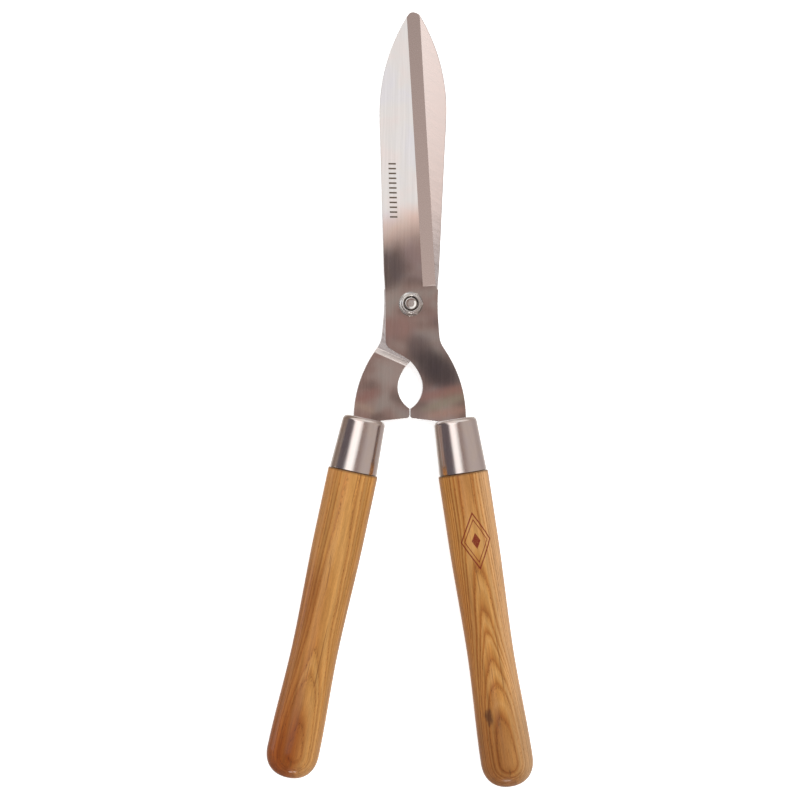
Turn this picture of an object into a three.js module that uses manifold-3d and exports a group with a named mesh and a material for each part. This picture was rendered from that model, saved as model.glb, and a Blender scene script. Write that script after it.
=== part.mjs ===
// Hedge shears: two crossed steel blades on one pivot bolt, each with a turned wooden handle.
// Millimetres. The shears lie flat and closed. +Y runs to the blade tips, +X to the right handle
// and +Z up through the pivot bolt to its lock nut. The origin is the middle of the bolt head's
// outer face, on the pivot axis.
import * as THREE from 'three';
import { mergeVertices } from 'three/addons/utils/BufferGeometryUtils.js';
import Module from 'manifold-3d';

const wasm = await Module();
wasm.setup();

// ---- Driving dimensions -------------------------------------------------------------------
const GAP = 0.3;                 // clearance between pieces that meet
const RUNNING_GAP = 0.1;         // clearance under the washer, so that the front blade can turn
const PLATE = 3;                 // thickness of the blade steel
const ROUND_SIDES = 40;          // facets round a turned piece

const HEAD_HEIGHT = 5.3;         // M8 pivot bolt
const SHANK_RADIUS = 4;
const ACROSS_FLATS = 13;
const HOLE_RADIUS = SHANK_RADIUS + GAP;
const WASHER_RADIUS = 7.6;
const WASHER_THICKNESS = 1.6;
const NUT_HEIGHT = 8;            // hexagon and collar together
const NUT_HEXAGON = 5.8;

const TIP_Y = 181.6;
const NOSE_RADIUS = 4;
const EDGE_LEAN = THREE.MathUtils.degToRad(4);        // cutting edge against the blade's length
const HEEL_Y = 12.8;                                  // where the cutting edge ends
const SPINE_BELLY = new THREE.Vector2(-20.8, 119.5);  // the blade's widest place
const SPINE_RADIUS = 115;                             // the spine's curve from there to the tip
const BEVEL_WIDTH = 8;
const EDGE_LAND = 0.5;           // steel left at the cutting edge by the bevel

const JOGGLE_LEAN = THREE.MathUtils.degToRad(23.3);   // the joggle's line against the X axis
const JOGGLE_START = 34;         // distance of the joggle from the pivot axis
const JOGGLE_RUN = 1.6;
const JOGGLE_BACK_SHIFT = 2.7;   // how much further out the back face bends

const FERRULE_TOP = new THREE.Vector2(28.05, -71.2);  // middle of the ferrule's closed end
const FERRULE_LENGTH = 33.6;
const FERRULE_TOP_RADIUS = 13.2;
const FERRULE_MOUTH_RADIUS = 14.8;
const FERRULE_WALL = 1;
const FERRULE_ROUNDING = 3;
const RIGHT_LEAN = THREE.MathUtils.degToRad(9.3);     // handle axis against the blade's length
const LEFT_LEAN = THREE.MathUtils.degToRad(11.5);

const ARM_OUTER = 6.9;           // the arm's sides where it enters the ferrule, from its axis
const ARM_INNER = -10.1;
const SHOULDER_DEPTH = 6;        // how far the full width goes into the ferrule
const TANG_HALF_WIDTH = 4;
const TANG_TIP_HALF_WIDTH = 2.5;
const TANG_LENGTH = 75;

const HANDLE_START = SHOULDER_DEPTH + 1;              // the tenon's end, from the ferrule's end
const RIGHT_HANDLE_END = 231;
const LEFT_HANDLE_END = 228.5;
const SHOULDER_RADIUS = 15.6;
const WAIST_RADIUS = 14.45;
const BUTT_RADIUS = 16.35;
const WAIST_START = 75;
const WAIST = 145;
const DOME_LENGTH = 17;
const DOME_POWER = 2.3;          // 2 is a half ellipse, more is blunter

// ---- Levels along Z -----------------------------------------------------------------------
const REAR_FACE = HEAD_HEIGHT + PLATE;                // the rear blade's inner face
const FRONT_FACE = REAR_FACE + GAP;                   // the front blade's inner face
const WASHER_Z = FRONT_FACE + PLATE + RUNNING_GAP;
const NUT_Z = WASHER_Z + WASHER_THICKNESS;
const BOLT_END = NUT_Z + NUT_HEIGHT - 0.4;
const HANDLE_Z = FRONT_FACE + PLATE / 2;

// ---- Materials ----------------------------------------------------------------------------
const finish = (color, roughness, metalness) =>
  new THREE.MeshStandardMaterial({ color, roughness, metalness });
const bladeSteel = () => finish(0xb5a8a1, 0.3, 1);
const ferruleSteel = () => finish(0xc4b6ae, 0.22, 1);
const zincSteel = () => finish(0xcfc8c2, 0.28, 1);
const nylon = () => finish(0x4a4038, 0.5, 0);
const ashWood = () => finish(0xc08a4c, 0.35, 0);

// ---- Solids -------------------------------------------------------------------------------
function toSolid(geometry) {
  geometry.deleteAttribute('normal');
  geometry.deleteAttribute('uv');
  const merged = mergeVertices(geometry, 1e-4);
  const vertProperties = new Float32Array(merged.attributes.position.array);
  const triVerts = new Uint32Array(merged.index.array);
  return new wasm.Manifold(new wasm.Mesh({ numProp: 3, vertProperties, triVerts }));
}

function toGeometry(solid) {
  const mesh = solid.getMesh();
  const geometry = new THREE.BufferGeometry();
  geometry.setAttribute('position', new THREE.BufferAttribute(mesh.vertProperties, 3));
  geometry.setIndex(new THREE.BufferAttribute(mesh.triVerts, 1));
  geometry.computeVertexNormals();
  return geometry;
}

function named(name, geometry, material) {
  const mesh = new THREE.Mesh(geometry, material);
  mesh.name = name;
  return mesh;
}

function extrude(shape, depth, z = 0, curveSegments = 12) {
  const geometry = new THREE.ExtrudeGeometry(shape, { depth, bevelEnabled: false, curveSegments });
  return geometry.translate(0, 0, z);
}

// A profile of (radius, height) points, in either direction, turned round Z.
function turn(profile) {
  const clockwise = THREE.ShapeUtils.isClockWise(profile);
  const points = clockwise ? [...profile].reverse() : profile;
  return new THREE.LatheGeometry(points, ROUND_SIDES).rotateX(Math.PI / 2);
}

function hexagon(acrossFlats) {
  const shape = new THREE.Shape();
  const corner = acrossFlats / Math.sqrt(3);
  for (let i = 0; i < 6; i += 1) {
    const angle = (i * Math.PI) / 3;
    const move = i === 0 ? 'moveTo' : 'lineTo';
    shape[move](corner * Math.cos(angle), corner * Math.sin(angle));
  }
  return shape;
}

// ---- Blades -------------------------------------------------------------------------------
// A place given by its distance along the handle axis from the ferrule's end and its distance
// to the outer side of that axis.
function onHandle(lean, along, across) {
  return new THREE.Vector2(
    FERRULE_TOP.x + along * Math.sin(lean) + across * Math.cos(lean),
    FERRULE_TOP.y - along * Math.cos(lean) + across * Math.sin(lean),
  );
}

// The outer side of the neck and arm, from the heel down to the ferrule.
function drawOuterSide(shape) {
  shape.quadraticCurveTo(15.3, 9.7, 16.9, 9.2);
  shape.quadraticCurveTo(16.3, -1, 17.15, -10);
  shape.quadraticCurveTo(17.55, -16, 18.1, -20.8);
  shape.quadraticCurveTo(18.7, -24.3, 20.6, -26.7);
  shape.absarc(-40.1, -71.2, 75.1, 0.63, 0.02, true);
}

// The tang with its two shoulders, in the handle's own directions.
function drawTang(shape, lean) {
  const stations = [
    [SHOULDER_DEPTH, ARM_OUTER],
    [SHOULDER_DEPTH, TANG_HALF_WIDTH],
    [TANG_LENGTH - 5, TANG_TIP_HALF_WIDTH],
    [TANG_LENGTH, 0],
    [TANG_LENGTH - 5, -TANG_TIP_HALF_WIDTH],
    [SHOULDER_DEPTH, -TANG_HALF_WIDTH],
    [SHOULDER_DEPTH, ARM_INNER],
  ];
  for (const [along, across] of stations) {
    const point = onHandle(lean, along, across);
    shape.lineTo(point.x, point.y);
  }
}

// The inner side: the stop lug, one half of the teardrop gap, and the neck's far corner.
function drawInnerSide(shape) {
  const lugFace = GAP / 2;
  shape.lineTo(18, -72.8);
  shape.lineTo(2.4, -71.1);
  shape.quadraticCurveTo(lugFace, -70.8, lugFace, -68.8);
  shape.absarc(-8, -51.5, 15.7, -1.024, 0.35, false);
  shape.absarc(-20, -55.9, 28.5, 0.35, 0.785, false);
  shape.bezierCurveTo(-2.5, -33.4, -8.3, -30.7, -11.8, -28.7);
  shape.quadraticCurveTo(-16, -26.3, -16, -22.5);
  shape.lineTo(-16, -4);
}

// The spine, the rounded tip and the straight cutting edge back to the heel.
function drawBlade(shape) {
  const centreX = SPINE_BELLY.x + SPINE_RADIUS;
  const noseAngle = nose().sub(new THREE.Vector2(centreX, SPINE_BELLY.y)).angle();
  shape.quadraticCurveTo(-16.1, 8, -17.2, 20);
  shape.lineTo(-20.1, 100);
  shape.quadraticCurveTo(-20.8, 113, SPINE_BELLY.x, SPINE_BELLY.y);
  shape.absarc(centreX, SPINE_BELLY.y, SPINE_RADIUS, Math.PI, noseAngle, true);
  shape.absarc(nose().x, nose().y, NOSE_RADIUS, noseAngle, EDGE_LEAN, true);
  shape.lineTo(heel().x, heel().y);
}

// The centre of the rounded tip, which runs smoothly into the spine's curve.
function nose() {
  const y = TIP_Y - NOSE_RADIUS;
  const reach = Math.sqrt((SPINE_RADIUS - NOSE_RADIUS) ** 2 - (y - SPINE_BELLY.y) ** 2);
  return new THREE.Vector2(SPINE_BELLY.x + SPINE_RADIUS - reach, y);
}

function heel() {
  const edgeX = nose().x + NOSE_RADIUS / Math.cos(EDGE_LEAN);
  return new THREE.Vector2(edgeX + (nose().y - HEEL_Y) * Math.tan(EDGE_LEAN), HEEL_Y);
}

function bladeOutline(lean) {
  const shape = new THREE.Shape();
  shape.moveTo(heel().x, heel().y);
  drawOuterSide(shape);
  drawTang(shape, lean);
  drawInnerSide(shape);
  drawBlade(shape);
  const hole = new THREE.Path();
  hole.absarc(0, 0, HOLE_RADIUS, 0, 2 * Math.PI, false);
  shape.holes.push(hole);
  return shape;
}

// The wedge that grinding takes off the outer face along the cutting edge.
function bevelWedge() {
  const section = new THREE.Shape();
  section.moveTo(-BEVEL_WIDTH, PLATE);
  section.lineTo(1, EDGE_LAND - (PLATE - EDGE_LAND) / BEVEL_WIDTH);
  section.lineTo(1, PLATE + 1);
  section.lineTo(-BEVEL_WIDTH, PLATE + 1);
  const length = TIP_Y - HEEL_Y + 20;
  const wedge = extrude(section, length);
  wedge.rotateX(Math.PI / 2).translate(0, length, 0);
  return wedge.rotateZ(EDGE_LEAN).translate(heel().x, heel().y, 0);
}

// A sheet of blade steel with a joggle towards -Z, as wide as any blade.
function joggledSheet() {
  const reach = 400;
  const drop = PLATE + GAP;
  const backStart = JOGGLE_START + JOGGLE_BACK_SHIFT;
  const section = new THREE.Shape();
  section.moveTo(-reach, 0);
  section.lineTo(JOGGLE_START, 0);
  section.lineTo(JOGGLE_START + JOGGLE_RUN, -drop);
  section.lineTo(reach, -drop);
  section.lineTo(reach, PLATE - drop);
  section.lineTo(backStart + JOGGLE_RUN, PLATE - drop);
  section.lineTo(backStart, PLATE);
  section.lineTo(-reach, PLATE);
  const sheet = extrude(section, 2 * reach, -reach);
  return sheet.rotateX(Math.PI / 2).rotateZ(JOGGLE_LEAN - Math.PI / 2);
}

// A blade with its inner face at z = 0 and its arm to the right.
function bladeSolid(lean, joggled) {
  const outline = bladeOutline(lean);
  const plate = joggled
    ? toSolid(extrude(outline, 30, -15)).intersect(toSolid(joggledSheet()))
    : toSolid(extrude(outline, PLATE));
  return plate.subtract(toSolid(bevelWedge()));
}

function blades() {
  const front = named('front_blade', toGeometry(bladeSolid(RIGHT_LEAN, false)), bladeSteel());
  front.position.z = FRONT_FACE;
  const rear = named('rear_blade', toGeometry(bladeSolid(LEFT_LEAN, true)), bladeSteel());
  rear.rotation.y = Math.PI;
  rear.position.z = REAR_FACE;
  return [front, rear];
}

// ---- Pivot --------------------------------------------------------------------------------
function pivotBolt() {
  const head = toSolid(extrude(hexagon(ACROSS_FLATS), HEAD_HEIGHT));
  const chamfer = 0.7;
  const shank = toSolid(turn([
    new THREE.Vector2(0, HEAD_HEIGHT / 2),
    new THREE.Vector2(SHANK_RADIUS, HEAD_HEIGHT / 2),
    new THREE.Vector2(SHANK_RADIUS, BOLT_END - chamfer),
    new THREE.Vector2(SHANK_RADIUS - chamfer, BOLT_END),
    new THREE.Vector2(0, BOLT_END),
  ]));
  return named('pivot_bolt', toGeometry(head.add(shank)), zincSteel());
}

function washer() {
  const shape = new THREE.Shape();
  shape.absarc(0, 0, WASHER_RADIUS, 0, 2 * Math.PI, false);
  const hole = new THREE.Path();
  hole.absarc(0, 0, HOLE_RADIUS, 0, 2 * Math.PI, false);
  shape.holes.push(hole);
  return named('pivot_washer', extrude(shape, WASHER_THICKNESS, WASHER_Z, 20), zincSteel());
}

// The lock nut: a hexagon with a thin collar that is rolled in over the nylon insert.
const INSERT_Z = NUT_Z + NUT_HEXAGON;
const INSERT_HEIGHT = 1.3;
const INSERT_RADIUS = 5;
const LIP_RADIUS = 4.7;

function lockNut() {
  const top = NUT_Z + NUT_HEIGHT;
  const collarRadius = 6.1;
  const body = toSolid(extrude(hexagon(ACROSS_FLATS), NUT_HEXAGON, NUT_Z));
  const collar = toSolid(turn([
    new THREE.Vector2(0, INSERT_Z - 1),
    new THREE.Vector2(collarRadius, INSERT_Z - 1),
    new THREE.Vector2(collarRadius, top - 0.9),
    new THREE.Vector2(collarRadius - 0.9, top),
    new THREE.Vector2(0, top),
  ]));
  const bore = toSolid(turn([
    new THREE.Vector2(0, NUT_Z - 1),
    new THREE.Vector2(HOLE_RADIUS, NUT_Z - 1),
    new THREE.Vector2(HOLE_RADIUS, INSERT_Z - GAP),
    new THREE.Vector2(INSERT_RADIUS + GAP, INSERT_Z - GAP),
    new THREE.Vector2(INSERT_RADIUS + GAP, INSERT_Z + INSERT_HEIGHT + GAP),
    new THREE.Vector2(LIP_RADIUS, INSERT_Z + INSERT_HEIGHT + GAP),
    new THREE.Vector2(LIP_RADIUS, top + 1),
    new THREE.Vector2(0, top + 1),
  ]));
  return named('lock_nut', toGeometry(body.add(collar).subtract(bore)), zincSteel());
}

function lockNutInsert() {
  const ring = turn([
    new THREE.Vector2(HOLE_RADIUS, INSERT_Z),
    new THREE.Vector2(HOLE_RADIUS, INSERT_Z + INSERT_HEIGHT),
    new THREE.Vector2(INSERT_RADIUS, INSERT_Z + INSERT_HEIGHT),
    new THREE.Vector2(INSERT_RADIUS, INSERT_Z),
    new THREE.Vector2(HOLE_RADIUS, INSERT_Z),
  ]);
  return named('lock_nut_insert', ring, nylon());
}

// ---- Ferrules and handles -----------------------------------------------------------------
// Both are made upright, with the ferrule's closed end at z = 0 and the handle going down.
function ferruleRadius(along) {
  const share = along / FERRULE_LENGTH;
  return FERRULE_TOP_RADIUS + (FERRULE_MOUTH_RADIUS - FERRULE_TOP_RADIUS) * share;
}

function cupProfile(inset, start) {
  const rounding = FERRULE_ROUNDING - inset;
  const centreRadius = ferruleRadius(start + rounding) - inset - rounding;
  const points = [new THREE.Vector2(0, -start)];
  for (let i = 0; i <= 4; i += 1) {
    const angle = (i / 4) * (Math.PI / 2);
    const radius = centreRadius + rounding * Math.sin(angle);
    points.push(new THREE.Vector2(radius, -start - rounding * (1 - Math.cos(angle))));
  }
  points.push(new THREE.Vector2(FERRULE_MOUTH_RADIUS - inset, -FERRULE_LENGTH));
  return points;
}

function ferrule(name, side) {
  const outside = cupProfile(0, 0);
  const inside = cupProfile(FERRULE_WALL, FERRULE_WALL).reverse();
  const cup = toSolid(turn([...outside, ...inside]));
  const slot = new THREE.BoxGeometry(ARM_OUTER - ARM_INNER + 2 * GAP, PLATE + 2 * GAP, 10);
  slot.translate((side * (ARM_OUTER + ARM_INNER)) / 2, 0, 0);
  return named(name, toGeometry(cup.subtract(toSolid(slot))), ferruleSteel());
}

function blend(from, to, share) {
  return from + (to - from) * THREE.MathUtils.smoothstep(share, 0, 1);
}

function handleRadius(along, end) {
  const butt = end - DOME_LENGTH;
  if (along < WAIST) {
    return blend(SHOULDER_RADIUS, WAIST_RADIUS, (along - WAIST_START) / (WAIST - WAIST_START));
  }
  if (along < butt) {
    return blend(WAIST_RADIUS, BUTT_RADIUS, (along - WAIST) / (butt - WAIST));
  }
  const dome = (along - butt) / DOME_LENGTH;
  return BUTT_RADIUS * (1 - dome ** DOME_POWER) ** (1 / DOME_POWER);
}

function handleProfile(end) {
  const tenonClearance = FERRULE_WALL + GAP;
  const shoulder = FERRULE_LENGTH + GAP;
  const rounding = 1;
  const points = [
    new THREE.Vector2(0, -HANDLE_START),
    new THREE.Vector2(ferruleRadius(HANDLE_START) - tenonClearance, -HANDLE_START),
    new THREE.Vector2(FERRULE_MOUTH_RADIUS - tenonClearance, -shoulder),
    new THREE.Vector2(SHOULDER_RADIUS - rounding, -shoulder),
    new THREE.Vector2(SHOULDER_RADIUS - 0.3 * rounding, -shoulder - 0.3 * rounding),
    new THREE.Vector2(SHOULDER_RADIUS, -shoulder - rounding),
  ];
  const butt = end - DOME_LENGTH;
  const shaftSteps = 12;
  for (let i = 0; i <= shaftSteps; i += 1) {
    const along = WAIST_START + ((butt - WAIST_START) * i) / shaftSteps;
    points.push(new THREE.Vector2(handleRadius(along, end), -along));
  }
  const domeSteps = 7;
  for (let i = 1; i < domeSteps; i += 1) {
    const along = butt + DOME_LENGTH * Math.sin((i / domeSteps) * (Math.PI / 2));
    points.push(new THREE.Vector2(handleRadius(along, end), -along));
  }
  points.push(new THREE.Vector2(0, -end));
  return points;
}

// The blind slot that the tang is driven into.
function tangSlot() {
  const top = -HANDLE_START + 1;
  const shape = new THREE.Shape();
  shape.moveTo(-TANG_HALF_WIDTH - GAP, top);
  shape.lineTo(TANG_HALF_WIDTH + GAP, top);
  shape.lineTo(TANG_TIP_HALF_WIDTH + GAP, -TANG_LENGTH - 2 * GAP);
  shape.lineTo(-TANG_TIP_HALF_WIDTH - GAP, -TANG_LENGTH - 2 * GAP);
  const width = PLATE + 2 * GAP;
  return toSolid(extrude(shape, width, -width / 2).rotateX(Math.PI / 2));
}

function handle(name, end) {
  const wood = toSolid(turn(handleProfile(end))).subtract(tangSlot());
  return named(name, toGeometry(wood), ashWood());
}

// A ferrule and its handle laid down along their own axis: side is 1 at the right, -1 at the left.
function grip(sideName, side, lean, end) {
  const upright = new THREE.Group();
  upright.add(ferrule(`${sideName}_ferrule`, side), handle(`${sideName}_handle`, end));
  upright.rotation.x = -Math.PI / 2;
  const laid = new THREE.Group();
  laid.add(upright);
  laid.position.set(side * FERRULE_TOP.x, FERRULE_TOP.y, HANDLE_Z);
  laid.rotation.z = side * lean;
  return laid;
}

const shears = new THREE.Group();
shears.add(...blades());
shears.add(pivotBolt(), washer(), lockNut(), lockNutInsert());
shears.add(grip('right', 1, RIGHT_LEAN, RIGHT_HANDLE_END));
shears.add(grip('left', -1, LEFT_LEAN, LEFT_HANDLE_END));

export default shears;
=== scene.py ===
"""Hedge shears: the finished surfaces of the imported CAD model, on a pale studio floor."""
import math

import bmesh
import bpy
from mathutils import Matrix, Vector


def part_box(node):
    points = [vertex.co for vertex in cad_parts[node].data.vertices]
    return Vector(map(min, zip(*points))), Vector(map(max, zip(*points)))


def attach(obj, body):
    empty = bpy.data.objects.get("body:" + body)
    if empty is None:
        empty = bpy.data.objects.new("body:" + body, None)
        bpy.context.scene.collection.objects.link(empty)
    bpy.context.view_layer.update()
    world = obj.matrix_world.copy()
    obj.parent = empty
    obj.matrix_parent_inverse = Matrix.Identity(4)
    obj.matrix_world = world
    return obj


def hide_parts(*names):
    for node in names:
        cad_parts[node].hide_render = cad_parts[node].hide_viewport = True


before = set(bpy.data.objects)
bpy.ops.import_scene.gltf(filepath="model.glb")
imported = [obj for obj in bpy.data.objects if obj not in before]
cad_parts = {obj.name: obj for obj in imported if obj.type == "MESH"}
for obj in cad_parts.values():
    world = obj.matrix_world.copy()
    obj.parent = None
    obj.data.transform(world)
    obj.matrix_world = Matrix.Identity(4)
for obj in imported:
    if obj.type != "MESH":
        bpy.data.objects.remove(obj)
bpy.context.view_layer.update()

scene = bpy.context.scene

# ---- Driving dimensions, in millimetres, as the CAD model has them ----
# +Y runs to the blade tips, +X to the right handle and +Z along the bolt to its lock nut.
MM = 0.001
GAP = 0.3
PLATE = 3.0                      # thickness of the blade steel
HOLE_RADIUS = 4.3
EDGE_ROUNDING = 0.3              # on every edge of the blade steel except the ground ones
ROUND_SIDES = 128

HEAD_HEIGHT = 5.3
SHANK_RADIUS = 4.0
ACROSS_FLATS = 13.0
WASHER_RADIUS = 7.6
NUT_HEXAGON = 5.8

TIP_Y = 181.59                   # a hair short of the CAD's, whose rounded tip is faceted
NOSE_RADIUS = 4.0
EDGE_LEAN = math.radians(4)
HEEL_Y = 12.8
SPINE_BELLY = Vector((-20.8, 119.5))
SPINE_RADIUS = 115.0
BEVEL_WIDTH = 8.0
EDGE_LAND = 0.5

JOGGLE_LEAN = math.radians(23.3)
JOGGLE_START = 34.0
JOGGLE_RUN = 1.6
JOGGLE_BACK_SHIFT = 2.7
JOGGLE_DROP = PLATE + GAP

FERRULE_TOP = Vector((28.05, -71.2))
FERRULE_LENGTH = 33.6
FERRULE_TOP_RADIUS = 13.2
FERRULE_MOUTH_RADIUS = 14.8
FERRULE_WALL = 1.0
FERRULE_ROUNDING = 3.0
LEAN = {1: math.radians(9.3), -1: math.radians(11.5)}     # 1 is the right side, -1 the left

ARM_OUTER = 6.9
ARM_INNER = -10.1
SHOULDER_DEPTH = 6.0
TANG_HALF_WIDTH = 4.0
TANG_TIP_HALF_WIDTH = 2.5
TANG_LENGTH = 75.0

HANDLE_START = SHOULDER_DEPTH + 1
HANDLE_END = {1: 230.95, -1: 228.45}
SHOULDER_RADIUS = 15.6
WAIST_RADIUS = 14.45
BUTT_RADIUS = 16.3
WAIST_START = 75.0
WAIST = 145.0
DOME_LENGTH = 17.0
DOME_POWER = 2.3

REAR_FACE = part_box("rear_blade")[0].z / MM + PLATE
FRONT_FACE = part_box("front_blade")[0].z / MM
WASHER_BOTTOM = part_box("pivot_washer")[0].z / MM
WASHER_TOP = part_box("pivot_washer")[1].z / MM
NUT_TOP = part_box("lock_nut")[1].z / MM
INSERT_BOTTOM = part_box("lock_nut_insert")[0].z / MM
INSERT_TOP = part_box("lock_nut_insert")[1].z / MM
BOLT_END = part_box("pivot_bolt")[1].z / MM
HANDLE_Z = FRONT_FACE + PLATE / 2

BODY = {1: "front_half", -1: "rear_half"}
SIDE_NAME = {1: "right", -1: "left"}


def smooth_share(share):
    share = min(1.0, max(0.0, share))
    return share * share * (3 - 2 * share)


# ---- Outlines ----
class Pen:
    """Collects the points of an outline from lines, curves and arcs."""

    def __init__(self, x, y):
        self.points = [Vector((x, y))]

    def line(self, x, y):
        self.points.append(Vector((x, y)))

    def quad(self, control_x, control_y, x, y, steps=10):
        start = self.points[-1]
        control = Vector((control_x, control_y))
        end = Vector((x, y))
        for i in range(1, steps + 1):
            t = i / steps
            self.points.append(start * (1 - t) ** 2 + control * (2 * t * (1 - t)) + end * t * t)

    def cubic(self, first, second, end, steps=12):
        start = self.points[-1]
        for i in range(1, steps + 1):
            t = i / steps
            near = start * (1 - t) ** 3 + Vector(first) * (3 * t * (1 - t) ** 2)
            far = Vector(second) * (3 * t * t * (1 - t)) + Vector(end) * t ** 3
            self.points.append(near + far)

    def arc(self, centre, radius, start, end, step=1.2):
        steps = max(6, round(abs(end - start) * radius / step))
        for i in range(steps + 1):
            angle = start + (end - start) * i / steps
            point = Vector(centre) + radius * Vector((math.cos(angle), math.sin(angle)))
            if (point - self.points[-1]).length > 0.05:
                self.points.append(point)


def on_handle(lean, along, across):
    """A place by its distance along a handle from the ferrule's end and to its outer side."""
    return (
        FERRULE_TOP.x + along * math.sin(lean) + across * math.cos(lean),
        FERRULE_TOP.y - along * math.cos(lean) + across * math.sin(lean),
    )


def nose():
    """The centre of the rounded tip."""
    y = TIP_Y - NOSE_RADIUS
    reach = math.sqrt((SPINE_RADIUS - NOSE_RADIUS) ** 2 - (y - SPINE_BELLY.y) ** 2)
    return Vector((SPINE_BELLY.x + SPINE_RADIUS - reach, y))


def heel():
    """Where the cutting edge ends."""
    edge_x = nose().x + NOSE_RADIUS / math.cos(EDGE_LEAN)
    return Vector((edge_x + (nose().y - HEEL_Y) * math.tan(EDGE_LEAN), HEEL_Y))


def blade_outline(lean):
    pen = Pen(*heel())
    # the outer side of the neck and arm
    pen.quad(15.3, 9.7, 16.9, 9.2)
    pen.quad(16.3, -1, 17.15, -10)
    pen.quad(17.55, -16, 18.1, -20.8)
    pen.quad(18.7, -24.3, 20.6, -26.7)
    pen.arc((-40.1, -71.2), 75.1, 0.63, 0.02)
    # the tang with its two shoulders
    for along, across in (
        (SHOULDER_DEPTH, ARM_OUTER),
        (SHOULDER_DEPTH, TANG_HALF_WIDTH),
        (TANG_LENGTH - 5, TANG_TIP_HALF_WIDTH),
        (TANG_LENGTH, 0),
        (TANG_LENGTH - 5, -TANG_TIP_HALF_WIDTH),
        (SHOULDER_DEPTH, -TANG_HALF_WIDTH),
        (SHOULDER_DEPTH, ARM_INNER),
    ):
        pen.line(*on_handle(lean, along, across))
    # the stop lug, one half of the teardrop gap and the neck's far corner
    pen.line(18, -72.8)
    pen.line(2.4, -71.1)
    pen.quad(GAP / 2, -70.8, GAP / 2, -68.8)
    pen.arc((-8, -51.5), 15.7, -1.024, 0.35)
    pen.arc((-20, -55.9), 28.5, 0.35, 0.785)
    pen.cubic((-2.5, -33.4), (-8.3, -30.7), (-11.8, -28.7))
    pen.quad(-16, -26.3, -16, -22.5)
    pen.line(-16, -4)
    # the spine and the rounded tip
    pen.quad(-16.1, 8, -17.2, 20)
    pen.line(-20.1, 100)
    pen.quad(-20.8, 113, *SPINE_BELLY)
    spine_centre = Vector((SPINE_BELLY.x + SPINE_RADIUS, SPINE_BELLY.y))
    to_nose = nose() - spine_centre
    nose_angle = math.atan2(to_nose.y, to_nose.x)
    pen.arc(spine_centre, SPINE_RADIUS, math.pi, nose_angle)
    pen.arc(nose(), NOSE_RADIUS, nose_angle, EDGE_LEAN, step=0.4)
    return pen.points


def hexagon(across_flats):
    corner = across_flats / math.sqrt(3)
    angles = [i * math.pi / 3 for i in range(6)]
    return [Vector((corner * math.cos(a), corner * math.sin(a))) for a in angles]


# ---- Meshes, all in millimetres until they become pieces ----
def inward_directions(outline):
    """For each outline point, the step inwards that moves both its edges by one unit."""
    area = sum(a.cross(b) for a, b in zip(outline, outline[1:] + outline[:1]))
    turn = 1 if area > 0 else -1
    steps = []
    for i, point in enumerate(outline):
        before = (point - outline[i - 1]).normalized()
        after = (outline[(i + 1) % len(outline)] - point).normalized()
        normal_before = Vector((-before.y, before.x)) * turn
        normal_after = Vector((-after.y, after.x)) * turn
        middle = (normal_before + normal_after).normalized()
        steps.append(middle / max(0.5, middle.dot(normal_after)))
    return steps


def prism(outline, bottom, top, rounding=0.0, segments=3):
    """A closed plate of the outline's shape, with its top and bottom edges rounded."""
    inward = inward_directions(outline)
    turns = [i / segments * math.pi / 2 for i in range(segments + 1)] if rounding else [0.0]
    arc = [(rounding * (1 - math.cos(a)), rounding * (1 - math.sin(a))) for a in turns]
    levels = [(inset, bottom + rise) for inset, rise in reversed(arc)]
    levels += [(inset, top - rise) for inset, rise in arc]
    bm = bmesh.new()
    rings = []
    for inset, z in levels:
        corners = [point + step * inset for point, step in zip(outline, inward)]
        rings.append([bm.verts.new((corner.x, corner.y, z)) for corner in corners])
    for lower, upper in zip(rings, rings[1:]):
        for i in range(len(outline)):
            j = (i + 1) % len(outline)
            bm.faces.new((lower[i], lower[j], upper[j], upper[i]))
    bm.faces.new(rings[0])
    bm.faces.new(rings[-1])
    bmesh.ops.recalc_face_normals(bm, faces=bm.faces)
    return bm


def revolve(profile, closed=False):
    """A solid of revolution about Z from (radius, height) points. A closed profile is a ring's."""
    bm = bmesh.new()
    angles = [2 * math.pi * i / ROUND_SIDES for i in range(ROUND_SIDES)]
    rings = []
    for radius, z in profile:
        around = angles if radius > 0 else angles[:1]
        spots = [(radius * math.cos(a), radius * math.sin(a), z) for a in around]
        rings.append([bm.verts.new(spot) for spot in spots])
    following = rings[1:] + rings[:1] if closed else rings[1:]
    for ring, after in zip(rings, following):
        for i in range(ROUND_SIDES):
            j = (i + 1) % ROUND_SIDES
            corners = (ring[i % len(ring)], ring[j % len(ring)],
                       after[j % len(after)], after[i % len(after)])
            bm.faces.new(list(dict.fromkeys(corners)))
    bmesh.ops.recalc_face_normals(bm, faces=bm.faces)
    return bm


def temporary(bm):
    mesh = bpy.data.meshes.new("temporary")
    bm.to_mesh(mesh)
    bm.free()
    obj = bpy.data.objects.new("temporary", mesh)
    scene.collection.objects.link(obj)
    return obj


def combine(first, second, operation):
    """Joins, cuts or intersects two closed meshes, and returns the result."""
    kept = temporary(first)
    tool = temporary(second)
    modifier = kept.modifiers.new("combine", "BOOLEAN")
    modifier.operation = operation
    modifier.solver = "EXACT"
    modifier.object = tool
    result = bmesh.new()
    result.from_object(kept, bpy.context.evaluated_depsgraph_get())
    for obj in (kept, tool):
        mesh = obj.data
        bpy.data.objects.remove(obj)
        bpy.data.meshes.remove(mesh)
    return result


def place(bm, matrix):
    bmesh.ops.transform(bm, matrix=matrix, verts=bm.verts)


def crease(bm, smooth_limit=math.radians(35), flat_limit=math.radians(8), flat_area=4.0):
    """Shades the mesh smooth, with creases at sharp corners and between two broad flat faces."""
    for face in bm.faces:
        face.smooth = True
    for edge in bm.edges:
        if len(edge.link_faces) == 2:
            angle = edge.calc_face_angle()
            broad = all(face.calc_area() > flat_area for face in edge.link_faces)
            edge.smooth = angle < smooth_limit and not (broad and angle > flat_limit)


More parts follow.
